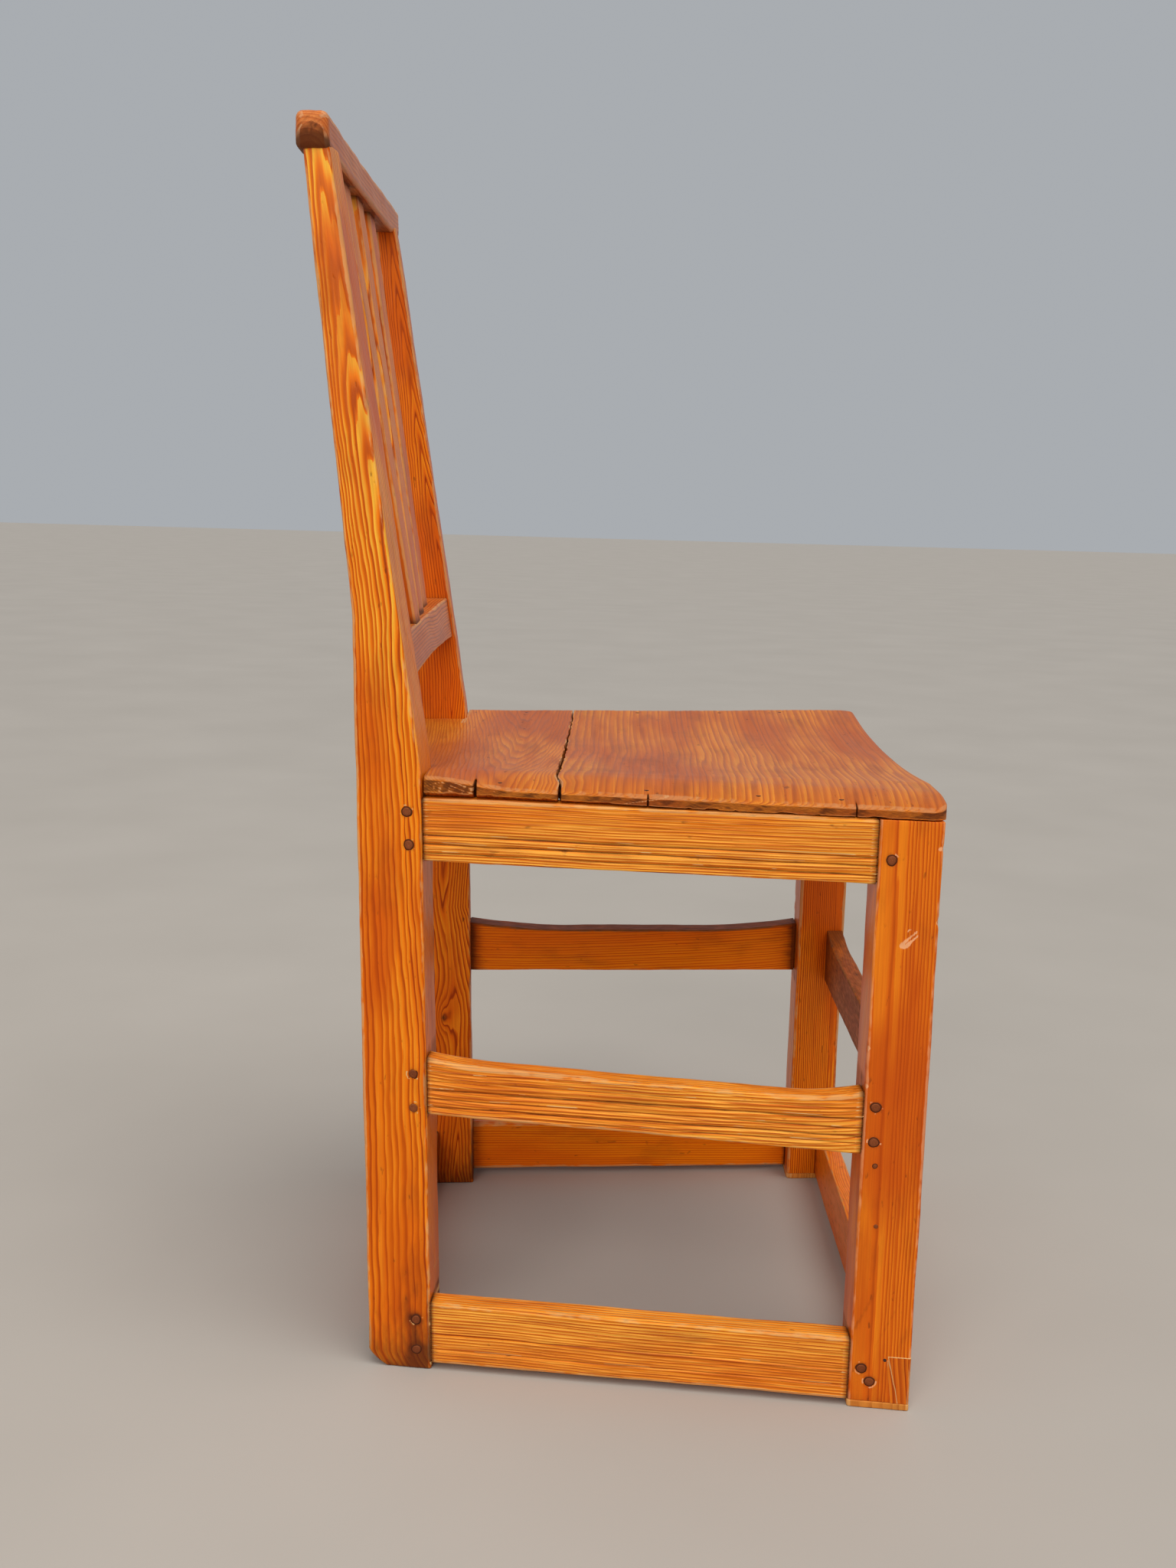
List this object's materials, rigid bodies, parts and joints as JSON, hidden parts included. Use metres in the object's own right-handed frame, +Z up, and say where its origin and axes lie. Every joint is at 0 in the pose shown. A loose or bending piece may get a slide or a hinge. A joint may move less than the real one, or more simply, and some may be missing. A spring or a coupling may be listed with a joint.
{
  "type": "side chair",
  "caption": "Old farmhouse side chair in varnished pine: raked slat back, dished plank seat, box stretchers, pegged joints, worn and repaired.",
  "frame": {"origin": "on the floor, under the middle of the chair's bounding box", "axes": "+Z up; the sitter faces -Y; the sitter's right is -X"},
  "size_m": [0.4416, 0.439, 0.866],
  "materials": {
    "frame_pine": "amber varnish over pine, worn gloss",
    "rail_pine": "amber varnish over pine with raised grain, worn gloss",
    "seat_pine": "red-brown varnish over pine, worn satin",
    "peg_wood": "dark end grain, dull",
    "pad_wood": "pale wood with thin varnish, satin",
    "nail_iron": "dark rusted iron, dull"
  },
  "bodies": {
    "root": {"back_post_right": "frame_pine", "back_post_left": "frame_pine", "front_leg_right": "frame_pine", "front_leg_left": "frame_pine", "crest_rail": "rail_pine", "lower_back_rail": "rail_pine", "back_slat_right": "frame_pine", "back_slat_middle": "frame_pine", "back_slat_left": "frame_pine", "seat_board_rear": "seat_pine", "seat_board_front": "seat_pine", "seat_rail_right": "rail_pine", "seat_rail_left": "rail_pine", "seat_rail_front": "rail_pine", "seat_rail_back": "rail_pine", "mid_stretcher_right": "rail_pine", "mid_stretcher_left": "rail_pine", "mid_stretcher_front": "rail_pine", "low_stretcher_right": "rail_pine", "low_stretcher_left": "rail_pine", "low_stretcher_front": "rail_pine", "low_stretcher_back": "rail_pine", "foot_pad_right": "pad_wood", "foot_pad_left": "pad_wood", "foot_patch_right": "frame_pine", "side_pegs_right": "peg_wood", "side_pegs_left": "peg_wood", "front_pegs": "peg_wood", "back_pegs": "peg_wood", "leg_plugs_right": "peg_wood", "seat_nails": "nail_iron"}
  },
  "joints": []
}
